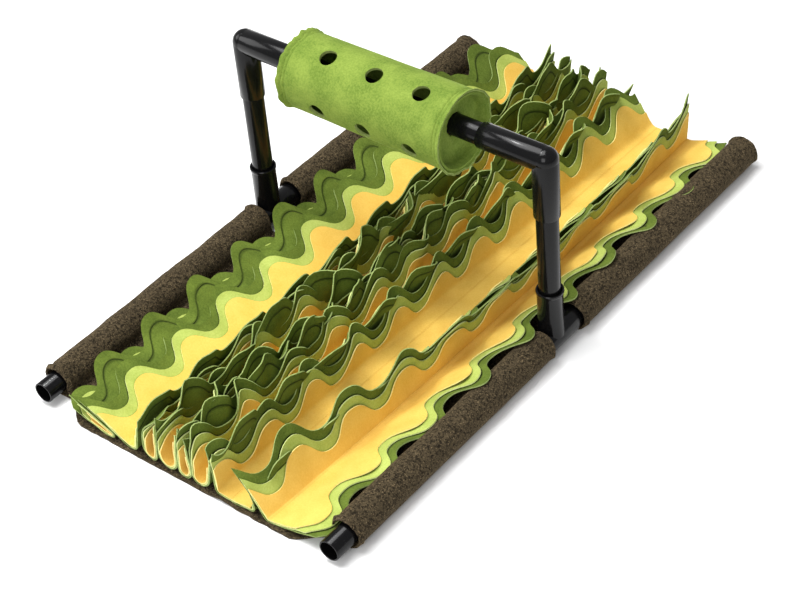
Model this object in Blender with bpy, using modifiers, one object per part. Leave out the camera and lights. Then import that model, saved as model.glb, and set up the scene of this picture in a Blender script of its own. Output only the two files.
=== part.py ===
"""Interactive feeding mat with a tube frame: fleece base, felt strips in wavy rows and a felt roller.

X runs across the mat, Y along its rails and Z up. The mat lies on the floor at Z = 0.
"""
import math

import bmesh
import bpy
from mathutils import Matrix, Vector

MM = 0.001
GAP = 0.3 * MM

# Frame
TUBE_RADIUS = 11 * MM
TUBE_WALL = 1.5 * MM
FITTING_RADIUS = 13 * MM
SOCKET_RADIUS = TUBE_RADIUS + GAP
SOCKET_LIP = 1 * MM
SLIGHT = 0.2 * MM
RAIL_X = 181 * MM
RAIL_FRONT_Y = {"left": -337 * MM, "right": -342 * MM}
RAIL_BACK_Y = 351 * MM
TEE_HALF_LENGTH = 34 * MM
TEE_TOP_Z = 76 * MM
TEE_LIP = 3 * MM
TUBE_STOP = 10 * MM
ARCH_HEIGHT = 214 * MM
ELBOW_LEG_DOWN = 64 * MM
ELBOW_LEG_ACROSS = 71 * MM
ELBOW_BEND = FITTING_RADIUS + GAP
ELBOW_STOP = FITTING_RADIUS
ELBOW_STEPS = 6
FRAME_SIDES = 16

# Base cloth, whose margins are folded round the rails
CLOTH = 2 * MM
CASING_RADIUS = 16.5 * MM
CASING_STEPS = 11
CASING_END_ANGLE = 205
FLAP_WIDTH = 13 * MM
FLAT_EDGE_X = 165 * MM
FLAT_COLUMNS = 7
FRONT_BOW = 22 * MM
FRONT_BOW_WIDTH = 35 * MM
BASE_ROWS_Y = [y * MM for y in (-318, -290, -200, -110, -20, 37, 110, 200, 290, 357)]
NOTCH_ROWS = (-20 * MM, 37 * MM)

# Roller
ROLLER_CENTRE_X = -9 * MM
ROLLER_HALF_LENGTH = 99 * MM
ROLLER_DROP = 5 * MM
ROLLER_RADIUS_LEFT = 38.5 * MM
ROLLER_RADIUS_RIGHT = 40.5 * MM
ROLLER_RIM_FLARE = 2.5 * MM
ROLLER_RIM_LENGTH = 8 * MM
ROLLER_WALL = 3 * MM
ROLLER_STEPS = 28
CUP_WALL = 2.2 * MM
CUP_DEPTH = 14 * MM
HOLE_RADIUS = 9 * MM
HOLE_SIDES = 12
HOLE_SPACING = 56 * MM
HOLE_CENTRE_X = -4.5 * MM
HOLE_ROW_ANGLES = (19, 109, 199, 289)

# Felt strips
FELT = 1.2 * MM
WAVE_HEIGHT = 12 * MM
WAVE_SHARPNESS = 1.3
EDGE_STEP = 3 * MM
STRIP_FRONT_Y = -336 * MM
STRIP_BACK_Y = 352 * MM
LAYERS = (
    # name, half width, colour
    ("green", 60 * MM, (0.10, 0.20, 0.03)),
    ("lime", 48 * MM, (0.42, 0.56, 0.09)),
    ("yellow", 36 * MM, (0.85, 0.55, 0.10)),
)

# Rows of strips, left to right. Each has its wave length, the Y of a left lobe's tip, how far the strip is
# shifted to the left of its seam, how many stations a wave has, and the height of its folded-over right side.
ROWS = (
    # name, wave length, tip y, shift, stations, fold height
    ("row_1", 67, -318, -8, 2, 7),
    ("row_2", 67, -276, 0, 2, 0),
    ("row_3", 66, -320, 0, 2, 0),
    ("row_4", 66, -322, 0, 2, 0),
    ("row_5", 66, -324, 0, 2, 0),
    ("row_6", 66, -322, 0, 2, 0),
    ("row_7", 64.5, -326, 3, 4, 0),
    ("row_8", 70, -278, -4, 4, 0),
)

# How each row lies at the front, in the middle and at the back: the seam's X, then for each side the flat
# stretch beside the seam and the angle at which the cloth then rises, 90 being upright.
LIE = {
    # name: (seam x, left flat, left rise, right flat, right rise) at front, middle and back
    "row_1": ((-97, 3, 20, 4, 158), (-100, 3, 24, 4, 153), (-104, 3, 32, 4, 143)),
    "row_2": ((-67, 0, 28, 8, 88), (-70, 0, 28, 8, 88), (-75, 0, 48, 7, 90)),
    "row_3": ((-40, 9, 91, 8, 88), (-46, 9.5, 99, 9, 82), (-55, 10, 98, 10, 84)),
    "row_4": ((-18, 12, 95, 12, 87), (-23, 12, 98, 12, 84), (-31, 12, 97, 12, 86)),
    "row_5": ((2, 7, 93, 9, 90), (-1, 8.5, 96, 10, 86), (-6, 11, 95, 11, 88)),
    "row_6": ((22, 10, 91, 12, 90), (22, 11, 94, 12, 90), (19, 12, 93, 12, 91)),
    "row_7": ((60, 20, 90, 28, 112), (67, 20, 88, 29, 96), (75, 12, 60, 26, 92)),
    "row_8": ((106, 0, 66, 12, 38), (115, 0, 98, 12, 46), (113, 0, 96, 12, 37)),
}

# The tees lie in the casings, and the roller hangs on the crossbar.
RAIL_Z = CLOTH + GAP + FITTING_RADIUS
BAR_Z = RAIL_Z + ARCH_HEIGHT
ROLLER_Z = BAR_Z - ROLLER_DROP

# Y is counted from the arch, and everything is then moved so that the origin is under the middle of the length.
MIDDLE_Y = (RAIL_FRONT_Y["right"] + BASE_ROWS_Y[-1]) / 2


def clear_scene():
    for thing in list(bpy.data.objects):
        bpy.data.objects.remove(thing)


def new_collection(name):
    group = bpy.data.collections.new(name)
    bpy.context.scene.collection.children.link(group)
    return group


def new_material(name, colour, roughness, metallic=0.0):
    material = bpy.data.materials.new(name)
    material.use_nodes = True
    shader = material.node_tree.nodes["Principled BSDF"]
    shader.inputs["Base Color"].default_value = (*colour, 1)
    shader.inputs["Roughness"].default_value = roughness
    shader.inputs["Metallic"].default_value = metallic
    return material


clear_scene()
PART = new_collection("interactive_feeding_mat")
CUTTERS = new_collection("cutters")


def add_object(name, mesh, material=None, group=PART):
    """An object of mesh; one that is part of the model gets its material and smooth faces."""
    thing = bpy.data.objects.new(name, mesh)
    group.objects.link(thing)
    if material:
        thing.data.materials.append(material)
        mesh.shade_smooth()
        mesh.set_sharp_from_angle(angle=math.radians(40))
    return thing


def add_cutter(name, mesh):
    cutter = add_object(name, mesh, group=CUTTERS)
    cutter.hide_render = True
    cutter.display_type = "WIRE"
    return cutter


def mesh_from(form, name):
    mesh = bpy.data.meshes.new(name)
    form.to_mesh(mesh)
    form.free()
    return mesh


def add_cylinder(form, start, end, radius, end_radius=None, sides=FRAME_SIDES):
    """A closed cylinder or cone in form, from one point to another."""
    first, last = Vector(start), Vector(end)
    along = last - first
    turn = along.to_track_quat("Z", "Y").to_matrix().to_4x4()
    place = Matrix.Translation((first + last) / 2) @ turn
    bmesh.ops.create_cone(
        form,
        cap_ends=True,
        segments=sides,
        radius1=radius,
        radius2=radius if end_radius is None else end_radius,
        depth=along.length,
        matrix=place,
    )


def cylinder_mesh(name, start, end, radius, end_radius=None, sides=FRAME_SIDES):
    form = bmesh.new()
    add_cylinder(form, start, end, radius, end_radius, sides)
    return mesh_from(form, name)


def boolean(thing, operation, other):
    change = thing.modifiers.new(operation.lower(), "BOOLEAN")
    change.operation = operation
    change.object = other
    change.solver = "EXACT"


def past(start, end, length):
    """The point that lies length beyond end on the line from start."""
    reach = math.dist(start, end)
    return tuple(e + (e - s) * length / reach for s, e in zip(start, end))


def add_tube(name, start, end, material):
    """An open tube, bored right through."""
    tube = add_object(name, cylinder_mesh(name, start, end, TUBE_RADIUS), material)
    mouths = past(end, start, TUBE_WALL), past(start, end, TUBE_WALL)
    bore = cylinder_mesh(name + "_bore", *mouths, TUBE_RADIUS - TUBE_WALL)
    boolean(tube, "DIFFERENCE", add_cutter(name + "_bore", bore))
    return tube


def add_bores(body, bores):
    """Cuts the sockets of a fitting, each given as a start, an end and a radius."""
    for number, bore in enumerate(bores):
        name = f"{body.name}_bore_{number}"
        boolean(body, "DIFFERENCE", add_cutter(name, cylinder_mesh(name, *bore)))


def add_tee(side, x, plastic):
    """A tee on the rail, with a socket up whose mouth has a small lip."""
    name = f"tee_{side}"
    foot, top = (x, 0, RAIL_Z), (x, 0, TEE_TOP_Z)
    front, back = (x, -TEE_HALF_LENGTH, RAIL_Z), (x, TEE_HALF_LENGTH, RAIL_Z)
    lip = (x, 0, TEE_TOP_Z - TEE_LIP)
    body = add_object(name, cylinder_mesh(name, front, back, FITTING_RADIUS), plastic)
    leg = cylinder_mesh(name + "_leg", foot, top, FITTING_RADIUS - SLIGHT)
    boolean(body, "UNION", add_cutter(name + "_leg", leg))
    collar = cylinder_mesh(name + "_collar", lip, past(foot, top, SLIGHT), FITTING_RADIUS + SOCKET_LIP)
    boolean(body, "UNION", add_cutter(name + "_collar", collar))
    bores = (
        (past(back, front, TUBE_WALL), past(front, back, TUBE_WALL), SOCKET_RADIUS),
        (foot, past(foot, top, TUBE_WALL), SOCKET_RADIUS - SLIGHT / 2),
    )
    add_bores(body, bores)


def push(form, ring, step):
    """Extrudes a ring of edges by step and gives the ring at the far end."""
    grown = bmesh.ops.extrude_edge_only(form, edges=ring)["geom"]
    corners = [item for item in grown if isinstance(item, bmesh.types.BMVert)]
    bmesh.ops.translate(form, vec=step, verts=corners)
    return [item for item in grown if isinstance(item, bmesh.types.BMEdge)]


def add_elbow(side, x, across, plastic):
    """An elbow swept up from its lower mouth, round the bend and along to its inner mouth."""
    name = f"elbow_{side}"
    way = math.copysign(1, across)
    form = bmesh.new()
    mouth = Matrix.Translation((x, 0, BAR_Z - ELBOW_LEG_DOWN))
    bmesh.ops.create_circle(form, segments=FRAME_SIDES, radius=FITTING_RADIUS, matrix=mouth)
    end = push(form, form.edges[:], (0, 0, ELBOW_LEG_DOWN - ELBOW_BEND))
    swept = bmesh.ops.spin(
        form,
        geom=end,
        cent=(x + way * ELBOW_BEND, 0, BAR_Z - ELBOW_BEND),
        axis=(0, way, 0),
        angle=math.pi / 2,
        steps=ELBOW_STEPS,
    )
    end = [item for item in swept["geom_last"] if isinstance(item, bmesh.types.BMEdge)]
    push(form, end, (across - way * ELBOW_BEND, 0, 0))
    bmesh.ops.holes_fill(form, edges=form.edges[:])
    bmesh.ops.recalc_face_normals(form, faces=form.faces[:])
    body = add_object(name, mesh_from(form, name), plastic)
    corner, down, inward = (x, 0, BAR_Z), (x, 0, BAR_Z - ELBOW_LEG_DOWN), (x + across, 0, BAR_Z)
    stop = ELBOW_STOP - GAP
    bores = (
        (past(down, corner, -stop), past(corner, down, TUBE_WALL), SOCKET_RADIUS),
        (past(inward, corner, -stop), past(corner, inward, TUBE_WALL), SOCKET_RADIUS),
    )
    add_bores(body, bores)


def build_frame(plastic):
    """Rails, tees, uprights, elbows and the crossbar."""
    bar_end = RAIL_X - ELBOW_STOP
    add_tube("crossbar", (-bar_end, 0, BAR_Z), (bar_end, 0, BAR_Z), plastic)
    for side, sign in (("left", -1), ("right", 1)):
        x = sign * RAIL_X
        add_tube(f"rail_front_{side}", (x, RAIL_FRONT_Y[side], RAIL_Z), (x, -TUBE_STOP, RAIL_Z), plastic)
        add_tube(f"rail_back_{side}", (x, TUBE_STOP, RAIL_Z), (x, RAIL_BACK_Y, RAIL_Z), plastic)
        foot, head = RAIL_Z + FITTING_RADIUS, BAR_Z - ELBOW_STOP
        add_tube(f"upright_{side}", (x, 0, foot), (x, 0, head), plastic)
        add_tee(side, x, plastic)
        add_elbow(side, x, -sign * ELBOW_LEG_ACROSS, plastic)


def casing_outline():
    """The base cloth's outer face across the right half of the mat, from the middle to the flap's edge."""
    points = [(FLAT_EDGE_X * step / FLAT_COLUMNS, 0.0) for step in range(FLAT_COLUMNS + 1)]
    for step in range(CASING_STEPS + 1):
        angle = math.radians(-90 + (CASING_END_ANGLE + 90) * step / CASING_STEPS)
        points.append((RAIL_X + CASING_RADIUS * math.cos(angle), CASING_RADIUS * (1 + math.sin(angle))))
    flap_top = 2 * CLOTH + GAP
    points.append((FLAT_EDGE_X - CLOTH, flap_top + GAP))
    points.append((FLAT_EDGE_X - CLOTH - FLAP_WIDTH, flap_top))
    return points


def smooth_step(value):
    value = min(max(value, 0.0), 1.0)
    return value * value * (3 - 2 * value)


def build_base(fleece):
    """One sheet whose side margins wrap the rails and come back onto it."""
    half = casing_outline()
    outline = [(-x, z) for x, z in reversed(half[1:])] + half
    columns, rows = len(outline), len(BASE_ROWS_Y)
    form = bmesh.new()
    bmesh.ops.create_grid(form, x_segments=columns - 1, y_segments=rows - 1, size=0.5)
    spots = {}
    for vertex in form.verts:
        column = round((vertex.co.x + 0.5) * (columns - 1))
        row = round((vertex.co.y + 0.5) * (rows - 1))
        spots[vertex] = (column, row)
    middle = len(half) - 1
    first_flat, last_flat = middle - FLAT_COLUMNS, middle + FLAT_COLUMNS
    notch = BASE_ROWS_Y.index(NOTCH_ROWS[0])
    cut = []
    for face in form.faces:
        face_columns = [spots[vertex][0] for vertex in face.verts]
        face_rows = [spots[vertex][1] for vertex in face.verts]
        if min(face_rows) == notch and (max(face_columns) <= first_flat or min(face_columns) >= last_flat):
            cut.append(face)
    for vertex, (column, row) in spots.items():
        x, z = outline[column]
        y = BASE_ROWS_Y[row]
        if row == 0 and first_flat <= column <= last_flat:
            y -= FRONT_BOW * smooth_step((FLAT_EDGE_X - abs(x)) / FRONT_BOW_WIDTH)
        vertex.co = (x, y, z)
    bmesh.ops.delete(form, geom=cut, context="FACES")
    base = add_object("base_cloth", mesh_from(form, "base_cloth"), fleece)
    thicken(base, CLOTH, even=True)


def thicken(thing, thickness, even):
    """Gives a sheet its thickness on the side that its faces point to."""
    solid = thing.modifiers.new("thickness", "SOLIDIFY")
    solid.thickness = thickness
    solid.offset = 1
    solid.use_even_offset = even


def turned(name, profile, material):
    """A closed profile of radius and height turned round the Z axis, which is then laid along X."""
    form = bmesh.new()
    corners = [form.verts.new((radius, 0, height)) for radius, height in profile]
    for corner, following in zip(corners, corners[1:] + corners[:1]):
        form.edges.new((corner, following))
    thing = add_object(name, mesh_from(form, name), material)
    screw = thing.modifiers.new("turn", "SCREW")
    screw.angle = math.tau
    screw.steps = ROLLER_STEPS
    screw.render_steps = ROLLER_STEPS
    screw.use_merge_vertices = True
    screw.merge_threshold = 0.00001
    thing.rotation_euler = (0, math.radians(90), 0)
    thing.location = (ROLLER_CENTRE_X, 0, ROLLER_Z)
    return thing


def wall_radius(height):
    """The roller's outer radius: a slight cone that flares at both rims."""
    share = (height + ROLLER_HALF_LENGTH) / (2 * ROLLER_HALF_LENGTH)
    radius = ROLLER_RADIUS_LEFT + share * (ROLLER_RADIUS_RIGHT - ROLLER_RADIUS_LEFT)
    inside_rim = (abs(height) - ROLLER_HALF_LENGTH + ROLLER_RIM_LENGTH) / ROLLER_RIM_LENGTH
    return radius + ROLLER_RIM_FLARE * max(inside_rim, 0.0) ** 2


def build_roller(felt):
    """The rolled wall with its holes, and the two cups that close it."""
    rim = ROLLER_HALF_LENGTH
    neck = rim - ROLLER_RIM_LENGTH
    heights = (rim, neck, -neck, -rim)
    outside = [(wall_radius(height), height) for height in heights]
    inside = [(wall_radius(height) - ROLLER_WALL, height) for height in reversed(heights)]
    wall = turned("roller_wall", outside + inside, felt)
    form = bmesh.new()
    for angle in HOLE_ROW_ANGLES:
        for step in (-1, 0, 1):
            x = HOLE_CENTRE_X + step * HOLE_SPACING
            lean = math.radians(angle)
            heart = (x, 0, ROLLER_Z)
            skin = (x, -ROLLER_RADIUS_LEFT * math.sin(lean), ROLLER_Z + ROLLER_RADIUS_LEFT * math.cos(lean))
            start, end = past(heart, skin, -2 * HOLE_RADIUS), past(heart, skin, HOLE_RADIUS)
            add_cylinder(form, start, end, HOLE_RADIUS, sides=HOLE_SIDES)
    boolean(wall, "DIFFERENCE", add_cutter("roller_holes", mesh_from(form, "roller_holes")))

    hole = TUBE_RADIUS + ROLLER_DROP + GAP
    for side, sign in (("left", -1), ("right", 1)):
        floor = rim - CUP_DEPTH
        steps = (rim, neck, floor)
        outer = [(wall_radius(sign * height) - ROLLER_WALL - GAP, sign * height) for height in steps]
        skin = [(radius - CUP_WALL, height) for radius, height in outer[:-1]]
        inner_floor = sign * (floor + CUP_WALL)
        skin.append((outer[-1][0] - CUP_WALL, inner_floor))
        profile = outer + [(hole, sign * floor), (hole, inner_floor)] + list(reversed(skin))
        turned(f"roller_end_{side}", profile if sign > 0 else profile[::-1], felt)


def blend(rows, place):
    """Each value of three rows (front, middle, back) on one smooth curve; place runs from 0 to 1."""
    front = (1 - place) * (1 - 2 * place)
    middle = 4 * place * (1 - place)
    back = place * (2 * place - 1)
    return [front * a + middle * b + back * c for a, b, c in zip(*rows)]


def offset_corner(before, corner, after, distance):
    """The corner of a line that runs distance to the left of the path before, corner, after."""
    first = math.atan2(corner[1] - before[1], corner[0] - before[0])
    second = math.atan2(after[1] - corner[1], after[0] - corner[0])
    turn = (second - first) / 2
    direction = first + turn + math.pi / 2
    reach = distance / math.cos(turn)
    return corner[0] + reach * math.cos(direction), corner[1] + reach * math.sin(direction)


def flank(corner, heading, reach, sign):
    """The last two points of a strip's side: its corner and its edge, or two on the flat where it ends there."""
    if reach > EDGE_STEP:
        return corner, (corner[0] + reach * heading[0], corner[1] + reach * heading[1])
    edge = corner[0] + sign * reach
    return (edge - sign * EDGE_STEP, corner[1]), (edge, corner[1])


def strip_section(row, place, left_reach, right_reach, fold, lift):
    """The section of one strip, from its left edge to its right edge, lifted off the row's lowest face."""
    seam, left_flat, left_rise, right_flat, right_rise = blend(LIE[row], place)
    left, right = math.radians(left_rise), math.radians(right_rise)
    ground = CLOTH + GAP
    path = [((seam - left_flat) * MM, ground), ((seam + right_flat) * MM, ground)]
    if fold:
        path.append((path[1][0] + fold * MM / 3, ground + fold * MM))
    left_way = (-math.cos(left), math.sin(left))
    right_way = (math.cos(right), math.sin(right))
    before = (path[0][0] + left_way[0], path[0][1] + left_way[1])
    after = (path[-1][0] + right_way[0], path[-1][1] + right_way[1])
    ring = [before] + path + [after]
    inner = [offset_corner(*ring[i : i + 3], lift) for i in range(len(path))]
    left_corner, left_edge = flank(inner[0], left_way, left_reach - left_flat * MM, -1)
    right_corner, right_edge = flank(inner[-1], right_way, right_reach - (right_flat + fold) * MM, 1)
    return [left_edge, left_corner] + inner[1:-1] + [right_corner, right_edge]


def stations(wave_length, tip, count):
    """The places along a strip where its edge has a point: both ends, and count of them in each wave."""
    step = wave_length / count
    start = tip if count == 2 else tip + step / 2
    first = math.ceil((STRIP_FRONT_Y - start) / step + 0.25)
    last = math.floor((STRIP_BACK_Y - start) / step - 0.25)
    return [STRIP_FRONT_Y] + [start + step * number for number in range(first, last + 1)] + [STRIP_BACK_Y]


def build_strips():
    """Eight rows of three strips, each a wavy sheet that is stitched down along its seam."""
    for name, wave_length, tip, shift, count, fold in ROWS:
        ends = stations(wave_length * MM, tip * MM, count)
        for level, (layer, half_width, colour) in enumerate(LAYERS):
            material = new_material(f"{name}_{layer}_felt", colour, 0.95)
            sections = []
            for y in ends:
                phase = math.tau * (y - tip * MM) / (wave_length * MM)
                wave = WAVE_HEIGHT * max(-1.0, min(1.0, WAVE_SHARPNESS * math.cos(phase)))
                left_reach = half_width + shift * MM + wave
                right_reach = half_width - shift * MM - wave
                place = (y - STRIP_FRONT_Y) / (STRIP_BACK_Y - STRIP_FRONT_Y)
                sections.append(strip_section(name, place, left_reach, right_reach, fold, level * (FELT + GAP)))
            columns, rows = len(sections[0]), len(ends)
            form = bmesh.new()
            bmesh.ops.create_grid(form, x_segments=columns - 1, y_segments=rows - 1, size=0.5)
            for vertex in form.verts:
                column = round((vertex.co.x + 0.5) * (columns - 1))
                row = round((vertex.co.y + 0.5) * (rows - 1))
                x, z = sections[row][column]
                vertex.co = (x, ends[row], z)
            strip = add_object(f"{name}_{layer}", mesh_from(form, f"{name}_{layer}"), material)
            thicken(strip, FELT, even=False)


def main():
    build_frame(new_material("black_plastic", (0.012, 0.012, 0.014), 0.25))
    build_base(new_material("olive_fleece", (0.065, 0.052, 0.028), 1.0))
    build_roller(new_material("roller_felt", (0.27, 0.46, 0.06), 0.95))
    build_strips()
    for thing in bpy.data.objects:
        thing.location.y -= MIDDLE_Y


main()
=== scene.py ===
"""Interactive feeding mat with a tube frame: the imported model, dressed for its render.

Felt strips lie in eight wavy rows on a fleece base, whose margins are sleeves round the tube rails. An arch
of tubes and fittings carries a felt roller with holes. X runs across the mat, Y along its rails, Z up. Sizes
in the tables are millimetres and degrees.
"""
from __future__ import annotations

import logging
import math
from dataclasses import astuple, dataclass, field
from enum import Enum, IntEnum
from typing import Callable, Optional, Sequence, Union

import bmesh
import bpy
import numpy as np
from mathutils import Matrix, Vector, noise

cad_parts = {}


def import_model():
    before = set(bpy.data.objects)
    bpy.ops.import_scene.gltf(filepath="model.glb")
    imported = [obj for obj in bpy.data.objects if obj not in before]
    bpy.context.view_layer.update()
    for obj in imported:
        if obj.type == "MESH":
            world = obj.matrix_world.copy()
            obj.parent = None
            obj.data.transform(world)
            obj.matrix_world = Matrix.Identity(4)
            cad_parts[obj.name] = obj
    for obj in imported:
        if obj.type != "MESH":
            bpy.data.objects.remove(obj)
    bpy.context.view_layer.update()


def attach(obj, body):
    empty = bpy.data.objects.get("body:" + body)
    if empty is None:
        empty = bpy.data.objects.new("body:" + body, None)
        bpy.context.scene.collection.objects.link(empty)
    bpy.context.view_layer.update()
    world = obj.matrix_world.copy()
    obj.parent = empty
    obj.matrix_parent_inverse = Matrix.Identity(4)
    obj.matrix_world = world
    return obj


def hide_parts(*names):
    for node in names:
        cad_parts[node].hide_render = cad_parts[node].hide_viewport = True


LOG = logging.getLogger("feeding_mat")
MM = 0.001
BODY = "root"

# Y is counted from the arch, and the middle of the mat's length lies this far behind it
MIDDLE_Y = 7.5

CLOTH_GAP = 0.3
RAIL_X = 181.0
RAIL_Z = 15.3
BAR_Z = 229.3
ROLLER_Z = 224.3


class Side(Enum):
    """Which side of a row's seam, or of the mat."""

    LEFT = -1
    RIGHT = 1


class Held(Enum):
    """How a sheet of cloth is held."""

    LAID = "laid"
    HUNG = "hung"
    FOLDED = "folded"


class Curve(IntEnum):
    """Which curve of noise each unevenness follows; rows, layers and sides count on from it."""

    LEFT_SLEEVE = 3
    ROW_SWAY = 5
    RIGHT_SLEEVE = 7
    BASE_END_FINE = 11
    BASE_END_BROAD = 12
    FRONT_LIFT = 14
    CUP_FLOOR = 31
    WAVE_BROAD = 40
    WAVE_FINE = 50
    EDGE_CURL = 60
    LAYER_FAN = 80
    STRIP_END = 90
    SIDE_SWAY_BROAD = 100
    SIDE_SWAY_FINE = 120


def smooth_step(value: float) -> float:
    """Eases a value from 0 to 1.

    Args:
        value: Any number; it is clamped first.

    Returns:
        The eased number, from 0 to 1.
    """
    value = min(max(value, 0.0), 1.0)
    return value * value * (3 - 2 * value)


def smooth_steps(values: np.ndarray) -> np.ndarray:
    """Eases each of several values from 0 to 1.

    Args:
        values: Any numbers; they are clamped first.

    Returns:
        The eased numbers.
    """
    clamped = np.clip(values, 0, 1)
    return clamped * clamped * (3 - 2 * clamped)


def wander(seed: int, along: float, across: float = 0.0) -> float:
    """Smooth noise that is the same on every run.

    Args:
        seed: Which curve of noise to take.
        along: Place along it, in its own wave lengths.
        across: Place across it.

    Returns:
        A number from about -1 to 1.
    """
    return noise.noise(Vector((along, across, 17.3 * seed + 0.37)))


# Shaders


class Value:
    """A number that varies over a surface; Python's operators add its Math nodes."""

    def __init__(self, paint: "Paint", socket: bpy.types.NodeSocket) -> None:
        """Wraps a socket of a paint's node tree."""
        self.paint = paint
        self.socket = socket

    def math(self, operation: str, *others: Union["Value", float]) -> "Value":
        """Adds one Math node.

        Args:
            operation: The node's operation.
            others: Its other inputs, numbers or values.

        Returns:
            The node's result.
        """
        inputs = {0: self, **{place: other for place, other in enumerate(others, 1)}}
        made = self.paint.node("ShaderNodeMath", {"operation": operation}, inputs)
        return Value(self.paint, made.outputs[0])

    def __add__(self, other: Union["Value", float]) -> "Value":
        """Adds."""
        return self.math("ADD", other)

    __radd__ = __add__

    def __mul__(self, other: Union["Value", float]) -> "Value":
        """Multiplies."""
        return self.math("MULTIPLY", other)

    __rmul__ = __mul__

    def __sub__(self, other: Union["Value", float]) -> "Value":
        """Subtracts."""
        return self.math("SUBTRACT", other)

    def __rsub__(self, other: float) -> "Value":
        """Subtracts this value from a number."""
        return (self * -1.0) + other

    def __abs__(self) -> "Value":
        """Drops the sign."""
        return self.math("ABSOLUTE")

    def ramp(self, low: float, high: float, start: float = 0.0, end: float = 1.0) -> "Value":
        """Eases from start to end while this value goes from low to high.

        Args:
            low: Where it starts to change.
            high: Where it is done.
            start: The result up to low.
            end: The result from high on.

        Returns:
            The eased value.
        """
        inputs = {"Value": self, "From Min": low, "From Max": high, "To Min": start, "To Max": end}
        made = self.paint.node("ShaderNodeMapRange", {"interpolation_type": "SMOOTHSTEP"}, inputs)
        return Value(self.paint, made.outputs["Result"])


Colour = tuple[float, float, float]
Input = Union[Value, bpy.types.NodeSocket, float, tuple, None]


class Paint:
    """One material and the nodes that make it."""

    def __init__(self, name: str) -> None:
        """Starts an empty material with a Principled shader.

        Args:
            name: The material's name.
        """
        self.material = bpy.data.materials.new(name)
        self.material.use_nodes = True
        self.tree = self.material.node_tree
        self.shader = self.tree.nodes["Principled BSDF"]

    def node(
        self, kind: str, settings: Optional[dict] = None, inputs: Optional[dict] = None
    ) -> bpy.types.Node:
        """Adds a node.

        Args:
            kind: The node's type.
            settings: Attributes that are set first.
            inputs: Values or links, by socket name or number.

        Returns:
            The new node.
        """
        made = self.tree.nodes.new(kind)
        for key, value in (settings or {}).items():
            setattr(made, key, value)
        for key, value in (inputs or {}).items():
            self.feed(made.inputs[key], value)
        return made

    def feed(self, socket: bpy.types.NodeSocket, value: Input) -> None:
        """Links a value to a socket, or sets the number or colour on it.

        Args:
            socket: The socket that is fed.
            value: What feeds it.
        """
        if isinstance(value, Value):
            value = value.socket
        if isinstance(value, bpy.types.NodeSocket):
            self.tree.links.new(value, socket)
        elif isinstance(value, tuple) and len(value) == 3 and socket.type == "RGBA":
            socket.default_value = (*value, 1.0)
        else:
            socket.default_value = value

    def place(self, by_cloth: bool, size: tuple = (1.0, 1.0, 1.0)) -> bpy.types.NodeSocket:
        """Where a point is: along its cloth, or on the object.

        Args:
            by_cloth: True reads the cloth's own map, False the object's coordinates.
            size: How much each axis is stretched first.

        Returns:
            A vector socket, in metres times size.
        """
        if by_cloth:
            start = self.node("ShaderNodeUVMap", {"uv_map": "cloth"}).outputs["UV"]
        else:
            start = self.node("ShaderNodeTexCoord").outputs["Object"]
        return self.node("ShaderNodeMapping", None, {"Vector": start, "Scale": size}).outputs["Vector"]

    def cloud(
        self, place: bpy.types.NodeSocket, scale: float, detail: float = 2.0, rough: float = 0.5
    ) -> Value:
        """Cloudy noise.

        Args:
            place: Where it is read.
            scale: How fine it is, per metre.
            detail: How many finer layers it has.
            rough: How strong the finer layers are.

        Returns:
            A value near 0.5.
        """
        inputs = {"Vector": place, "Scale": scale, "Detail": detail, "Roughness": rough}
        return Value(self, self.node("ShaderNodeTexNoise", None, inputs).outputs["Fac"])

    def axis(self, place: bpy.types.NodeSocket, name: str) -> Value:
        """One axis of a vector."""
        return Value(self, self.node("ShaderNodeSeparateXYZ", None, {0: place}).outputs[name])

    def mix(self, share: Input, first: Input, second: Input, blend: str = "MIX") -> bpy.types.NodeSocket:
        """Mixes two colours.

        Args:
            share: How much of the second.
            first: The first colour.
            second: The second colour.
            blend: How they are mixed.

        Returns:
            The mixed colour's socket.
        """
        made = self.node("ShaderNodeMix", {"data_type": "RGBA", "blend_type": blend})
        for socket, value in ((made.inputs[0], share), (made.inputs[6], first), (made.inputs[7], second)):
            self.feed(socket, value)
        return made.outputs[2]

    def bump(self, height: Value, depth: float, strength: float = 1.0) -> None:
        """Presses a height into the shader's normal.

        Args:
            height: The relief, from 0 to 1.
            depth: How deep 1 is, in metres.
            strength: How strongly it shows.
        """
        inputs = {"Height": height, "Distance": depth, "Strength": strength}
        self.feed(self.shader.inputs["Normal"], self.node("ShaderNodeBump", None, inputs).outputs["Normal"])

    def constant(self, **values: Union[float, Colour]) -> None:
        """Sets what is the same all over, by the shader's socket names with _ for a space."""
        for name, value in values.items():
            self.feed(self.shader.inputs[name.replace("_", " ")], value)


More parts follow.
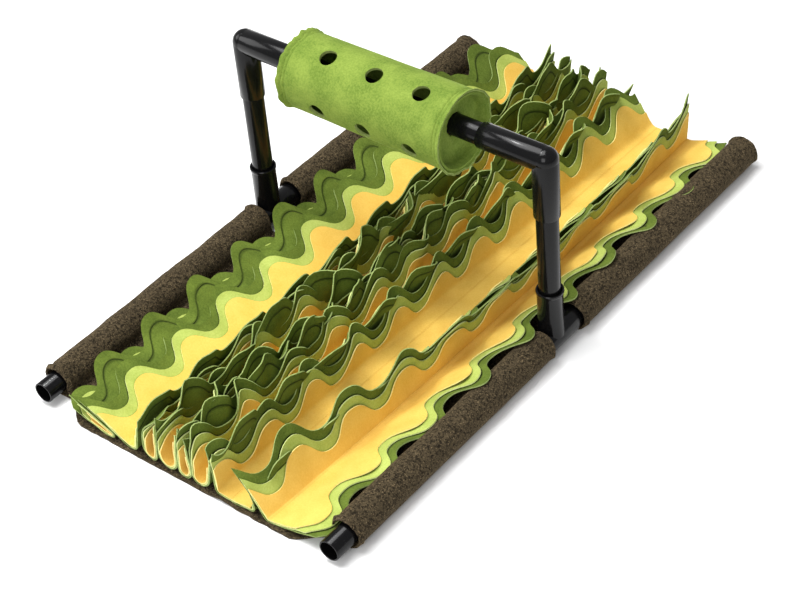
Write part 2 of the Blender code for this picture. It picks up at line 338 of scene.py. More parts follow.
@dataclass(frozen=True)
class Felt:
    """Pressed felt: mottled, fibrous, with a soft sheen."""

    name: str
    light: Colour
    deep: Colour
    sheen: float = 0.16
    stitched: bool = False
    # How far inside the cut edge the next layer's edge lies, where an imprint line and a painted contact
    # shadow are drawn, and how strong the line's groove and its painted shade are.
    imprint_and_shadow_inset: float = 0.0
    imprint_groove_and_shade: float = 0.0
    by_cloth: bool = True

    def make(self) -> bpy.types.Material:
        """Builds the material.

        Returns:
            The finished material.
        """
        paint = Paint(self.name)
        place = paint.place(self.by_cloth)
        patches = paint.cloud(place, 45, 3, 0.55)
        grain = paint.cloud(place, 520, 4, 0.7)
        fibres = paint.cloud(paint.place(self.by_cloth, (1.0, 0.35, 1.0)), 1900, 2, 0.6)
        share = (patches.ramp(0.3, 0.7) * 0.45) + (grain.ramp(0.3, 0.72) * 0.55)
        colour = paint.mix(share, self.deep, self.light)
        creases = paint.cloud(paint.place(self.by_cloth, (1.0, 0.6, 1.0)), 38, 1, 0.4)
        relief = (grain * 0.55) + (fibres * 0.3) + (creases * 2.4)
        if self.stitched:
            across = abs(paint.axis(place, "X"))
            along = paint.axis(place, "Y") * 330.0
            dash = abs((along.math("FRACT") - 0.5) * 2.0).ramp(0.72, 0.9, 1.0, 0.0)
            thread = across.ramp(0.00025, 0.0006, 1.0, 0.0) * dash
            # Painted shade: the colour is darkened along the seam's furrow, which is also pressed into the
            # relief; the dashed thread is paler.
            seam_furrow_and_shade = across.ramp(0.0, 0.0016, 1.0, 0.0)
            colour = paint.mix(seam_furrow_and_shade * 0.35, colour, self.deep, "MULTIPLY")
            colour = paint.mix(thread * 0.55, colour, self.light)
            relief = relief - (seam_furrow_and_shade * 1.6) + (thread * 0.9)
        # Painted shade: the colour is darkened in a soft band where the next layer's edge lies, standing in
        # for its contact shadow, and along the thin imprint line, whose groove is also pressed into the
        # relief.
        if self.imprint_and_shadow_inset:
            edge = paint.node("ShaderNodeUVMap", {"uv_map": "edge"}).outputs["UV"]
            inset = paint.axis(edge, "X") + (paint.cloud(place, 30, 1) - 0.5) * 0.006
            # The imprint line's groove is real relief; its darker colour is painted shade.
            line = abs(inset - self.imprint_and_shadow_inset).ramp(0.0003, 0.0011, 1.0, 0.0)
            line = line * patches.ramp(0.3, 0.55, 0.35, 1.0) * self.imprint_groove_and_shade
            # Painted contact shadow where the next layer's edge lies on this one.
            under = abs(paint.axis(edge, "X") - self.imprint_and_shadow_inset).ramp(0.0004, 0.0032, 1.0, 0.0)
            colour = paint.mix(under * 0.5, colour, self.deep, "MULTIPLY")
            colour = paint.mix(line * 0.75, colour, self.deep, "MULTIPLY")
            relief = relief - (line * 2.2)
        paint.feed(paint.shader.inputs["Base Color"], colour)
        paint.bump(relief, 0.0004, 0.55)
        paint.constant(Roughness=0.96, Specular_IOR_Level=0.15)
        paint.constant(Sheen_Weight=self.sheen, Sheen_Roughness=0.45, Sheen_Tint=self.light)
        return paint.material


@dataclass(frozen=True)
class Fleece:
    """Short-pile fleece, dark with lighter tufts."""

    name: str
    pile: Colour
    root: Colour
    tuft: Colour

    def make(self) -> bpy.types.Material:
        """Builds the material.

        Returns:
            The finished material.
        """
        paint = Paint(self.name)
        place = paint.place(False)
        clumps = paint.cloud(place, 360, 4, 0.66)
        tufts = paint.cloud(place, 760, 3, 0.62)
        drift = paint.cloud(place, 60, 2, 0.5)
        colour = paint.mix(clumps.ramp(0.36, 0.62), self.root, self.pile)
        colour = paint.mix(tufts.ramp(0.55, 0.68) * 0.7, colour, self.tuft)
        colour = paint.mix(drift.ramp(0.35, 0.7) * 0.25, colour, self.root)
        paint.feed(paint.shader.inputs["Base Color"], colour)
        paint.bump((clumps * 0.7) + (tufts * 0.6), 0.0011, 0.9)
        paint.constant(Roughness=1.0, Sheen_Weight=0.35, Sheen_Roughness=0.5, Specular_IOR_Level=0.1)
        paint.constant(Sheen_Tint=self.tuft)
        return paint.material


@dataclass(frozen=True)
class Plastic:
    """Moulded black plastic, satin to glossy, with faint scuffs."""

    name: str
    colour: Colour
    worn: Colour
    roughness: float

    def make(self) -> bpy.types.Material:
        """Builds the material.

        Returns:
            The finished material.
        """
        paint = Paint(self.name)
        place = paint.place(False)
        haze = paint.cloud(place, 55, 3, 0.6)
        scuffs = paint.cloud(paint.place(False, (1.0, 0.12, 1.0)), 900, 2, 0.7)
        colour = paint.mix(scuffs.ramp(0.62, 0.75) * 0.4, self.colour, self.worn)
        paint.feed(paint.shader.inputs["Base Color"], colour)
        rough = (haze * 0.10) + (scuffs.ramp(0.6, 0.75) * 0.08) + (self.roughness - 0.05)
        paint.feed(paint.shader.inputs["Roughness"], rough)
        paint.bump(paint.cloud(place, 240, 3, 0.5), 0.00012, 0.25)
        paint.constant(Specular_IOR_Level=0.2, IOR=1.5)
        return paint.material


@dataclass(frozen=True)
class Floor:
    """A plain pale studio floor."""

    name: str
    colour: Colour

    def make(self) -> bpy.types.Material:
        """Builds the material.

        Returns:
            The finished material.
        """
        paint = Paint(self.name)
        paint.constant(Base_Color=self.colour, Roughness=0.9, Specular_IOR_Level=0.1)
        return paint.material


class Wardrobe:
    """Every finish of the mat, made once."""

    def __init__(self) -> None:
        """Makes the materials."""
        self.felt = {
            "green": Felt(
                "green_felt", (0.142, 0.200, 0.030), (0.060, 0.092, 0.012), imprint_and_shadow_inset=0.0128, imprint_groove_and_shade=1.0
            ).make(),
            "lime": Felt("lime_felt", (0.47, 0.55, 0.14), (0.30, 0.38, 0.07), imprint_and_shadow_inset=0.0128).make(),
            "yellow": Felt("yellow_felt", (0.82, 0.56, 0.128), (0.71, 0.44, 0.078), stitched=True).make(),
        }
        # Paler felt for the strips' cut edges: a painted highlight where the edges catch light.
        self.cut = {
            "green": Felt("green_felt_cut", (0.36, 0.44, 0.16), (0.17, 0.24, 0.065)).make(),
            "lime": Felt("lime_felt_cut", (0.70, 0.76, 0.33), (0.48, 0.56, 0.18)).make(),
            "yellow": Felt("yellow_felt_cut", (0.98, 0.84, 0.36), (0.88, 0.66, 0.20)).make(),
        }
        self.roller = Felt(
            "roller_felt", (0.235, 0.318, 0.056), (0.098, 0.165, 0.021), by_cloth=False
        ).make()
        # Paler felt for the roller's cut rims and hole walls: a painted highlight where they catch light.
        self.roller_cut_highlight = Felt(
            "roller_felt_cut", (0.36, 0.44, 0.15), (0.20, 0.27, 0.06), by_cloth=False
        ).make()
        self.fleece = Fleece(
            "olive_fleece", (0.070, 0.053, 0.030), (0.008, 0.0065, 0.004), (0.26, 0.19, 0.105)
        ).make()
        self.plastic = Plastic("black_plastic", (0.0035, 0.0035, 0.0038), (0.02, 0.02, 0.022), 0.17).make()
        self.floor = Floor("studio_floor", (0.93, 0.93, 0.93)).make()


# Making pieces


def link(name: str, form: bmesh.types.BMesh, *materials: bpy.types.Material) -> bpy.types.Object:
    """Turns a bmesh into an object at the origin.

    Args:
        name: The piece's name.
        form: The bmesh, which is freed.
        materials: Its material slots.

    Returns:
        The new object.
    """
    mesh = bpy.data.meshes.new(name)
    form.to_mesh(mesh)
    form.free()
    for material in materials:
        mesh.materials.append(material)
    mesh.shade_smooth()
    thing = bpy.data.objects.new(name, mesh)
    bpy.context.scene.collection.objects.link(thing)
    return thing


def bake(thing: bpy.types.Object, sharp: float) -> None:
    """Makes a piece's modifiers part of its mesh and marks its sharp edges.

    Args:
        thing: The piece.
        sharp: The angle from which an edge is sharp, in degrees.
    """
    graph = bpy.context.evaluated_depsgraph_get()
    mesh = bpy.data.meshes.new_from_object(thing.evaluated_get(graph))
    thing.modifiers.clear()
    thing.data = mesh
    mesh.shade_smooth()
    mesh.set_sharp_from_angle(angle=math.radians(sharp))


def thicken(thing: bpy.types.Object, thickness: float, rim: int) -> None:
    """Gives a sheet its thickness on the side that its faces point to.

    Args:
        thing: The sheet.
        thickness: In millimetres.
        rim: How many slots further its cut edge's material is.
    """
    solid = thing.modifiers.new("thickness", "SOLIDIFY")
    solid.thickness = thickness * MM
    solid.offset = 1
    solid.material_offset_rim = rim
    bake(thing, 50)


def settle(piece: bpy.types.Object, node: str) -> bpy.types.Object:
    """Puts a finished piece in a CAD node's place.

    Args:
        piece: The finished piece.
        node: The CAD node that it replaces.

    Returns:
        The same piece.
    """
    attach(piece, BODY)
    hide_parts(node)
    return piece


def woven_grid(columns: int, rows: int, spot: Callable[[int, int], tuple[float, ...]]) -> bmesh.types.BMesh:
    """A grid of cloth whose corners are put in place one by one.

    Args:
        columns: How many faces across.
        rows: How many faces along.
        spot: Gives x, y, z, the place on the flat cloth and how far inside its cut edge that is, all in
            millimetres, for a column and a row.

    Returns:
        The grid, with the cloth's map and the map of its edge.
    """
    form = bmesh.new()
    bmesh.ops.create_grid(form, x_segments=columns, y_segments=rows, size=0.5)
    flat: dict[bmesh.types.BMVert, tuple[float, ...]] = {}
    for vertex in form.verts:
        column = round((vertex.co.x + 0.5) * columns)
        row = round((vertex.co.y + 0.5) * rows)
        x, y, z, u, v, inset = spot(column, row)
        vertex.co = (x * MM, (y - MIDDLE_Y) * MM, z * MM)
        flat[vertex] = (u * MM, v * MM, inset * MM)
    cloth, edge = form.loops.layers.uv.new("cloth"), form.loops.layers.uv.new("edge")
    for face in form.faces:
        for loop in face.loops:
            u, v, inset = flat[loop.vert]
            loop[cloth].uv, loop[edge].uv = (u, v), (inset, v)
    return form


def spun(profile: Sequence[tuple[float, float]], steps: int, closed: bool) -> bmesh.types.BMesh:
    """A profile turned round the Z axis.

    Args:
        profile: Radius and height of each corner, in millimetres.
        steps: How many steps the turn has.
        closed: Whether the profile's last corner joins its first.

    Returns:
        The turned form, whose faces point outwards.
    """
    form = bmesh.new()
    corners = [form.verts.new((radius * MM, 0, height * MM)) for radius, height in profile]
    pairs = list(zip(corners, corners[1:]))
    if closed:
        pairs.append((corners[-1], corners[0]))
    edges = [form.edges.new(pair) for pair in pairs]
    bmesh.ops.spin(
        form,
        geom=corners + edges,
        cent=(0, 0, 0),
        axis=(0, 0, 1),
        dvec=(0, 0, 0),
        angle=math.tau,
        steps=steps,
        use_merge=True,
        use_duplicate=False,
    )
    bmesh.ops.remove_doubles(form, verts=form.verts, dist=1e-6)
    bmesh.ops.recalc_face_normals(form, faces=form.faces)
    return form


def rounded_rim(radius: float, end: float, way: float, soft: float) -> list[tuple[float, float]]:
    """The rounded outer corner of a turned profile.

    Args:
        radius: The radius it rounds off from, in millimetres.
        end: The height of the end face.
        way: 1 where the end is the top, -1 where it is the bottom.
        soft: The corner's own radius.

    Returns:
        Three corners, from the side to the end face.
    """
    return [(radius, end - way * soft), (radius - 0.3 * soft, end - way * 0.3 * soft), (radius - soft, end)]


# Felt strips


@dataclass(frozen=True)
class Lie:
    """How a row lies at one place.

    It has its seam's X, each side's flat stretch and the angle it rises at, and how far each edge rolls on.
    """

    seam: float
    left_flat: float
    left_rise: float
    right_flat: float
    right_rise: float
    left_roll: float = 0.0
    right_roll: float = 0.0


@dataclass(frozen=True)
class RowCut:
    """One row's cut and lie.

    In millimetres: the wave's length, the Y of a left lobe's tip, how far the strip is shifted to the left
    of its seam, and fan, how far the layers stand apart at their edges. In degrees: how steeply the valley
    starts, how much each side sways with the side it presses on, how much the whole row sways on its own,
    and how much its edges curl.
    """

    name: str
    wave_length: float
    tip: float
    shift: float
    valley: float
    left_sway: float
    right_sway: float
    own: float
    fan: float
    curl: float
    front: Lie
    middle: Lie
    back: Lie
    folded_over: bool = False


ROW_TABLE: tuple[RowCut, ...] = (
    # name, wave length, tip y, shift, valley, left and right sway, own sway, fan, curl,
    # then the lie at the front, in the middle and at the back, and whether the right side is folded over
    RowCut(
        "row_1", 67, -318, -12.5, 0, 0, 0, 2, 1.0, 7,
        Lie(-97, 3, 17, 4, 158), Lie(-100, 3, 21, 4, 153), Lie(-104, 3, 29, 4, 143), True,
    ),
    RowCut(
        "row_2", 67, -276, 0, 0, 0, 4, 2, 1.2, 7,
        Lie(-67, 0, 28, 9, 78), Lie(-70, 0, 28, 9, 74), Lie(-75, 0, 48, 7, 90),
    ),
    RowCut(
        "row_3", 66, -320, -6, 26, 4, 14, 1, 1.6, 20,
        Lie(-40, 9, 94, 8, 84, 30), Lie(-46, 8, 101, 9, 80, 20), Lie(-55, 10, 95, 10, 82, 14),
    ),
    RowCut(
        "row_4", 66, -316, -6, 26, 14, 18, 1, 1.8, 22,
        Lie(-18, 12, 93, 12, 80, 14), Lie(-23, 12, 94, 12, 77, 4), Lie(-31, 12, 96, 12, 76, 2),
    ),
    RowCut(
        "row_5", 66, -324, -5, 26, 18, 18, 1, 1.6, 20,
        Lie(2, 7, 96, 9, 92, 24), Lie(-1, 8.5, 102, 10, 88, 18), Lie(-6, 11, 97, 11, 90, 20),
    ),
    RowCut(
        "row_6", 66, -322, -4, 26, 18, 6, 1, 1.8, 22,
        Lie(22, 10, 95, 12, 78, 12), Lie(22, 11, 98, 12, 72, 2), Lie(19, 12, 97, 12, 72, 2),
    ),
    RowCut(
        "row_7", 64.5, -326, 3, 4, 6, 0, 1, 1.6, 9,
        Lie(60, 20, 88, 28, 100), Lie(67, 20, 88, 29, 94, 0, -46), Lie(75, 12, 60, 26, 92, 0, -20),
    ),
    RowCut(
        "row_8", 70, -278, -4, 0, 0, 0, 3, 1.8, 7,
        Lie(106, 0, 54, 12, 14), Lie(115, 0, 98, 12, 33, 36), Lie(113, 0, 94, 12, 20, 10),
    ),
)


@dataclass
class StripRow:
    """Three strips of felt, cut to waves, laid on each other and sewn down along one seam."""

    cut: RowCut
    wardrobe: Wardrobe
    number: int
    half_widths: dict[str, float] = field(
        default_factory=lambda: {"green": 60.0, "lime": 48.0, "yellow": 36.0}
    )
    felt: float = 1.2
    wave_height: float = 12.0
    bluntness: float = 1.15
    front_y: float = -336.0
    back_y: float = 352.0
    ground: float = 2.3
    rows: int = 184
    side_columns: int = 16
    least_bend: float = 7.0
    usual_bend: float = 16.0
    longest_bend: float = 60.0
    fold_radius: float = 4.6
    longest_reach: float = 92.0
    crest_curl: float = 0.10
    curl_start: float = 24.0
    curl_length: float = 30.0
    roll_start: float = 28.0
    roll_length: float = 24.0
    ragged: float = 0.9

    def lie(self, y: float) -> Lie:
        """How the row lies at y, on one smooth curve through its front, middle and back.

        Args:
            y: Where along the row.

        Returns:
            The lie there.
        """
        place = (y - self.front_y) / (self.back_y - self.front_y)
        shares = ((1 - place) * (1 - 2 * place), 4 * place * (1 - place), place * (2 * place - 1))
        lies = (self.cut.front, self.cut.middle, self.cut.back)
        values = zip(*(astuple(lie) for lie in lies))
        return Lie(*(sum(share * value for share, value in zip(shares, each)) for each in values))

    def crest(self, y: float) -> float:
        """How near y is to a left lobe's tip: 1 on the tip, -1 in the valley."""
        return math.cos(math.tau * (y - self.cut.tip) / self.cut.wave_length)

    def wave(self, y: float) -> float:
        """How far the cut edge swings to the left at y, with rounded tips and valleys.

        Args:
            y: Where along the row.

        Returns:
            The swing, in millimetres.
        """
        drift = 0.6 * wander(Curve.WAVE_BROAD + self.number, y / 90)
        drift += 1.6 * wander(Curve.WAVE_FINE + self.number, y / 40)
        blunted = math.tanh(self.bluntness * self.crest(y)) / math.tanh(self.bluntness)
        return self.wave_height * blunted + drift

    def flank(self, lie: Lie, y: float, side: Side) -> tuple[np.ndarray, ...]:
        """The path of the row's lowest face on one side of the seam.

        Args:
            lie: How the row lies here.
            y: Where along the row.
            side: Which side.

        Returns:
            Distances along the cloth, and at each the outward and upward place and the heading.
        """
        left = side is Side.LEFT
        flat, roll = (lie.left_flat, lie.left_roll) if left else (lie.right_flat, lie.right_roll)
        rise = (lie.left_rise if left else lie.right_rise) - side.value * self.lean(y, side)
        folded = self.cut.folded_over and not left
        step = 1.0
        along = np.arange(0.0, self.longest_reach, step)
        valley = math.radians(self.cut.valley)
        target = math.radians(rise)
        if folded:
            share = np.clip((along - flat) / (self.fold_radius * target), 0, 1)
        else:
            turning = np.cos(valley + (target - valley) * smooth_steps(np.linspace(0, 1, 41)))
            mean = max(float(turning.mean()), 0.25)
            most = self.usual_bend if self.cut.valley < 10 else self.longest_bend
            bend = min(max(flat / mean, self.least_bend), most)
            share = smooth_steps((along - max(flat - bend * mean, 0.0)) / bend)
        heading = valley * smooth_steps(along / 5.0) + (target - valley) * share
        curl = self.crest_curl * self.crest(y)
        curl += math.radians(self.cut.curl) * wander(Curve.EDGE_CURL + self.number + 3 * side.value, y / 31)
        heading = heading + side.value * curl * smooth_steps((along - self.curl_start) / self.curl_length)
        heading = heading + math.radians(roll) * smooth_steps((along - self.roll_start) / self.roll_length)
        outward = np.concatenate(([0.0], np.cumsum(np.cos(heading[:-1]) * step)))
        upward = np.concatenate(([0.0], np.cumsum(np.sin(heading[:-1]) * step)))
        return along, outward, upward, heading

    def lean(self, y: float, side: Side) -> float:
        """How many degrees a side leans to the right, together with the next row's side that it presses on.

        Args:
            y: Where along the row.
            side: Which side.

        Returns:
            The lean, in degrees.
        """
        boundary = self.number - (side is Side.LEFT)
        sway = self.cut.left_sway if side is Side.LEFT else self.cut.right_sway
        shared = wander(Curve.SIDE_SWAY_BROAD + boundary, y / 58)
        shared += 0.9 * wander(Curve.SIDE_SWAY_FINE + boundary, y / 24)
        return sway * shared + self.cut.own * wander(Curve.ROW_SWAY + self.number, y / 38)

    def stations(self) -> list[tuple[float, Lie, dict[Side, tuple[np.ndarray, ...]]]]:
        """The row's section at each step along it.

        Returns:
            For each step its y, the lie there and the path of either side.
        """
        found = []
        for step in range(self.rows + 1):
            y = self.front_y + (self.back_y - self.front_y) * step / self.rows
            lie = self.lie(y)
            found.append((y, lie, {side: self.flank(lie, y, side) for side in Side}))
        return found

    def build(self) -> list[bpy.types.Object]:
        """Makes the row's three strips.

        Returns:
            The pieces, from the lowest to the highest.
        """
        stations = self.stations()
        made = []
        for level, (layer, half_width) in enumerate(self.half_widths.items()):
            made.append(self.strip(stations, level, layer, half_width))
        return made

    def strip(self, stations: list, level: int, layer: str, half_width: float) -> bpy.types.Object:
        """Makes one strip.

        Args:
            stations: The row's sections.
            level: 0 for the lowest strip.
            layer: The strip's colour name.
            half_width: From its seam to the middle of its wavy edge, in millimetres.

        Returns:
            The finished piece.
        """
        columns = 2 * self.side_columns
        shares = [abs(step / self.side_columns - 1) ** 1.2 for step in range(columns + 1)]

        def spot(column: int, row: int) -> tuple[float, ...]:
            """Where one corner of the strip lies.

            Args:
                column: The corner's column, from the left edge.
                row: The corner's row, from the front.

            Returns:
                Its place, its place on the flat strip, and how far inside the cut edge it is.
            """
            y, lie, flanks = stations[row]
            side = Side.LEFT if column < self.side_columns else Side.RIGHT
            reach = half_width - side.value * (self.cut.shift + self.wave(y))
            distance = shares[column] * reach
            along, outward, upward, heading = flanks[side]
            out = float(np.interp(distance, along, outward))
            up = float(np.interp(distance, along, upward))
            turn = float(np.interp(distance, along, heading))
            outer = distance / self.half_widths["green"]
            fan = self.cut.fan * level * outer**2
            fan *= 0.5 + 0.8 * wander(Curve.LAYER_FAN + self.number + level + 4 * side.value, y / 24, outer)
            lift = level * (self.felt + CLOTH_GAP) + fan
            x = lie.seam + side.value * (out - lift * math.sin(turn))
            z = self.ground + up + lift * math.cos(turn)
            end = max(0.0, 1 - min(row, self.rows - row) / 3)
            y += end * self.ragged * wander(Curve.STRIP_END + self.number + level, distance / 14, side.value)
            return x, y, z, side.value * distance, y, reach - distance

        name = f"{self.cut.name}_{layer}"
        form = woven_grid(columns, self.rows, spot)
        # The second slot is the paler cut-edge felt, a painted highlight.
        piece = link(name + "_felt", form, self.wardrobe.felt[layer], self.wardrobe.cut[layer])
        thicken(piece, self.felt, 1)
        settle(piece, name)
        return piece


# Base cloth


@dataclass
class FleeceBase:
    """The fleece base, whose side margins are sleeves sewn round the rails."""

    wardrobe: Wardrobe
    cloth: float = 2.0
    sleeve: float = 16.5
    sleeve_steps: int = 40
    end_angle: float = 205.0
    flap: float = 13.0
    flat_edge: float = 165.0
    flat_columns: int = 24
    front_bow: float = 22.0
    bow_width: float = 35.0
    notch: tuple[float, float] = (-15.0, 35.0)
    front_y: float = -318.0
    back_y: float = 357.0
    step: float = 4.0

    def outline(self) -> list[tuple[float, float, float]]:
        """The outer face across the right half of the mat.

        Returns:
            For each corner its x, its z and its share of sleeve, 0 on the flat cloth and 1 on the sleeve.
        """
        columns = self.flat_columns
        points = [(self.flat_edge * step / columns, 0.0, 0.0) for step in range(columns + 1)]
        for step in range(self.sleeve_steps + 1):
            angle = math.radians(-90 + (self.end_angle + 90) * step / self.sleeve_steps)
            x = RAIL_X + self.sleeve * math.cos(angle)
            z = self.sleeve * (1 + math.sin(angle))
            points.append((x, z, smooth_step(step / 4)))
        top = 2 * self.cloth + CLOTH_GAP
        points.append((self.flat_edge - self.cloth, top + CLOTH_GAP, 0.2))
        points.append((self.flat_edge - self.cloth - self.flap / 2, top, 0.0))
        points.append((self.flat_edge - self.cloth - self.flap, top, 0.0))
        return points

    def rows(self) -> list[float]:
        """Where the rows of corners are.

        Returns:
            The y of each row, with the sleeves' ends among them.
        """
        front, back = self.notch
        found: list[float] = []
        for start, end in ((self.front_y, front), (front, back), (back, self.back_y)):
            count = round((end - start) / self.step)
            found += [start + (end - start) * step / count for step in range(count)]
        return found + [self.back_y]

    def ends(self, y: float) -> float:
        """How far y is from the nearest end of a sleeve, in millimetres."""
        return min(abs(y - end) for end in (self.front_y, *self.notch, self.back_y))

    def slacken(self, x: float, z: float, y: float, share: float) -> tuple[float, float]:
        """Moves a corner of a sleeve out or in: slack cloth, a cuff and a pinch at the ends, puckers.

        Args:
            x: The corner's x.
            z: Its z.
            y: Its y.
            share: How much of a sleeve's corner it is.

        Returns:
            Its new x and z.
        """
        near = self.ends(y)
        angle = math.atan2(z - self.sleeve, x - math.copysign(RAIL_X, x))
        seed = Curve.LEFT_SLEEVE if x < 0 else Curve.RIGHT_SLEEVE
        cuff = smooth_step(1 - abs(near - 4.0) / 4.2) * 1.7 - 1.3 * smooth_step(1 - near / 3)
        pinch = smooth_step(1 - abs(near - 9.5) / 2.8) * -1.5
        slack = 0.9 * wander(seed, y / 42, angle * 0.8) + 0.5 * wander(seed + 1, y / 13, angle * 2)
        pucker = 0.9 * smooth_step(1 - near / 22) * wander(seed + 2, y / 9, angle * 4.5)
        swell = share * (cuff + pinch + slack + pucker)
        upper = smooth_step((math.sin(angle) + 0.75) / 0.6)
        return x + swell * math.cos(angle) * upper, z + swell * math.sin(angle) * upper

    def build(self) -> bpy.types.Object:
        """Makes the base.

        Returns:
            The finished piece.
        """
        half = self.outline()
        line = [(-x, z, share) for x, z, share in reversed(half[1:])] + half
        middle = len(half) - 1
        rows = self.rows()
        lengths = [0.0]
        for before, after in zip(line, line[1:]):
            lengths.append(lengths[-1] + math.dist(before[:2], after[:2]))

        def spot(column: int, row: int) -> tuple[float, ...]:
            """Where one corner of the base lies.

            Args:
                column: The corner's column, from the left hem.
                row: The corner's row, from the front.

            Returns:
                Its place, its place on the flat cloth, and how far inside the cut edge it is.
            """
            x, z, share = line[column]
            y = rows[row]
            if share:
                x, z = self.slacken(x, z, y, share)
            if row == 0 or row == len(rows) - 1:
                y += 0.8 * wander(Curve.BASE_END_FINE, lengths[column] / 5)
                y += 0.6 * wander(Curve.BASE_END_BROAD, lengths[column] / 15)
            if abs(line[column][0]) < self.flat_edge + 1 and line[column][1] == 0.0:
                bow = smooth_step((self.flat_edge - abs(x)) / self.bow_width)
                front = smooth_step(1 - (y - self.front_y) / 30)
                y -= self.front_bow * bow * front
                lifted = 2.6 * smooth_step(1 - abs(x - 50) / 14) + max(0.0, wander(Curve.FRONT_LIFT, x / 18))
                z += lifted * smooth_step(1 - (rows[row] - self.front_y) / 9)
            return x, y, z, lengths[column], y, min(column, len(line) - 1 - column)

        form = woven_grid(len(line) - 1, len(rows) - 1, spot)
        low, high = (rows.index(end) for end in self.notch)
        width = len(line) - 1
        cut = [
            face
            for place, face in enumerate(form.faces)
            if low <= place // width < high and abs(place % width + 0.5 - middle) > self.flat_columns
        ]
        bmesh.ops.delete(form, geom=cut, context="FACES")
        piece = link("fleece_base", form, self.wardrobe.fleece)
        thicken(piece, self.cloth, 0)
        settle(piece, "base_cloth")
        return piece


# Roller


@dataclass
class Roller:
    """The felt roller: a rolled wall with twelve holes, and a recessed cup in each end."""

    wardrobe: Wardrobe
    centre_x: float = -9.0
    half_length: float = 99.0
    radius_left: float = 38.5
    radius_right: float = 40.5
    flare: float = 2.5
    rim: float = 8.0
    grooves: tuple[float, float] = (5.0, 8.6)
    wall: float = 3.0
    cup_wall: float = 2.2
    cup_depth: float = 14.0
    cup_play: float = 0.5
    cut_share: float = 0.72
    hole: float = 9.0
    peg: float = 36.0
    peg_start: float = 20.0
    hole_spacing: float = 56.0
    hole_x: float = -4.5
    hole_angles: tuple[float, ...] = (19.0, 109.0, 199.0, 289.0)
    bar_hole: float = 16.3
    bar_gap: float = 4.6
    steps: int = 112

    def radius(self, height: float) -> float:
        """The outer radius, of a slight cone that flares at both rims and is sewn round twice near each.

        Args:
            height: Where along the roller, from its middle.

        Returns:
            The radius, in millimetres.
        """
        share = (height + self.half_length) / (2 * self.half_length)
        radius = self.radius_left + share * (self.radius_right - self.radius_left)
        inside = max((abs(height) - self.half_length + self.rim) / self.rim, 0.0)
        depth = self.half_length - abs(height)
        groove = sum(0.9 * math.exp(-(((depth - line) / 0.9) ** 2)) for line in self.grooves)
        return radius + self.flare * inside**2 - groove

    def lay(self, form: bmesh.types.BMesh) -> None:
        """Turns a form from the Z axis onto the roller's axis.

        Args:
            form: The form, which is moved.
        """
        move = Matrix.Translation((self.centre_x * MM, -MIDDLE_Y * MM, ROLLER_Z * MM))
        turn = Matrix.Rotation(math.radians(90), 4, "Y")
        bmesh.ops.transform(form, matrix=move @ turn, verts=form.verts)

    def ruffle(self, form: bmesh.types.BMesh) -> None:
        """Makes a turned form, still on the Z axis, a little uneven, more so at its rims.

        Args:
            form: The form, which is changed.
        """
        for vertex in form.verts:
            x, y, z = vertex.co
            angle, height = math.atan2(y, x), z / MM
            near = smooth_step((abs(height) - self.half_length + 16) / 16)
            turn = Vector((math.cos(angle), math.sin(angle), 0))
            around = 2.2 * math.cos(angle), 2.2 * math.sin(angle)
            uneven = noise.noise(Vector((around[0], around[1], height / 40)))
            frill = noise.noise(Vector((around[0] * 3, around[1] * 3, math.copysign(5.0, height))))
            vertex.co += turn * MM * (0.5 * uneven + 1.3 * near * frill)
            vertex.co.z += math.copysign(1, height) * near * 1.6 * MM * frill

    def profile(self) -> list[tuple[float, float]]:
        """The wall's section: outer face, rim of two layers, inner face, other rim.

        Returns:
            Radius and height of each corner.
        """
        rim, neck = self.half_length, self.half_length - self.rim
        depths = (1.0, 2.4, 3.6, 4.3, 5.0, 5.7, 6.8, 7.8, 8.6, 9.4, 10.4, 13.0)
        outer_heights = [rim - depth for depth in depths]
        heights = outer_heights + [neck * share for share in (0.7, 0.4, 0.1)]
        heights = heights + [-height for height in reversed(heights)]
        outer = [(self.radius(height), height) for height in heights]
        inner_heights = (-rim + 1, -rim + 5, -neck, 0, neck, rim - 5, rim - 1)
        inner = [(self.radius(height) - self.wall, height) for height in inner_heights]
        layers = ((0.5, 0.0), (1.2, 0.0), (1.5, 0.7), (1.8, 0.0), (2.6, 0.0))
        low_rim = [(self.radius(-rim) - depth, -rim + sunk) for depth, sunk in layers]
        high_rim = [(self.radius(rim) - depth, rim - sunk) for depth, sunk in reversed(layers)]
        return outer + low_rim + inner + high_rim

    def build(self) -> list[bpy.types.Object]:
        """Makes the wall and both cups.

        Returns:
            The three pieces.
        """
        return [self.build_wall(), self.build_cup(Side.LEFT), self.build_cup(Side.RIGHT)]

    def build_wall(self) -> bpy.types.Object:
        """Makes the wall with its holes.

        Returns:
            The finished piece.
        """
        form = spun(self.profile(), self.steps, True)
        self.ruffle(form)
        self.lay(form)
        wall = link("roller_wall_felt", form, self.wardrobe.roller, self.wardrobe.roller_cut_highlight)
        cutter = self.holes()
        cut = wall.modifiers.new("holes", "BOOLEAN")
        cut.operation = "DIFFERENCE"
        cut.object = cutter
        cut.solver = "EXACT"
        bake(wall, 38)
        bpy.data.objects.remove(cutter)
        self.paint_cut_highlight(wall)
        settle(wall, "roller_wall")
        return wall

    def holes(self) -> bpy.types.Object:
        """Makes the cutter of the twelve holes.

        Returns:
            One object with a peg for each hole.
        """
        form = bmesh.new()
        radius, depth = self.hole * MM, self.peg * MM
        for angle in self.hole_angles:
            lean = math.radians(angle)
            along = Vector((0, -math.sin(lean), math.cos(lean)))
            turn = along.to_track_quat("Z", "Y").to_matrix().to_4x4()
            for step in (-1, 0, 1):
                axis = Vector((self.hole_x + step * self.hole_spacing, -MIDDLE_Y, ROLLER_Z)) * MM
                place = Matrix.Translation(axis + along * (self.peg_start * MM + depth / 2)) @ turn
                size = {"radius1": radius, "radius2": radius, "depth": depth}
                bmesh.ops.create_cone(form, cap_ends=True, segments=36, matrix=place, **size)
        return link("roller_holes", form)

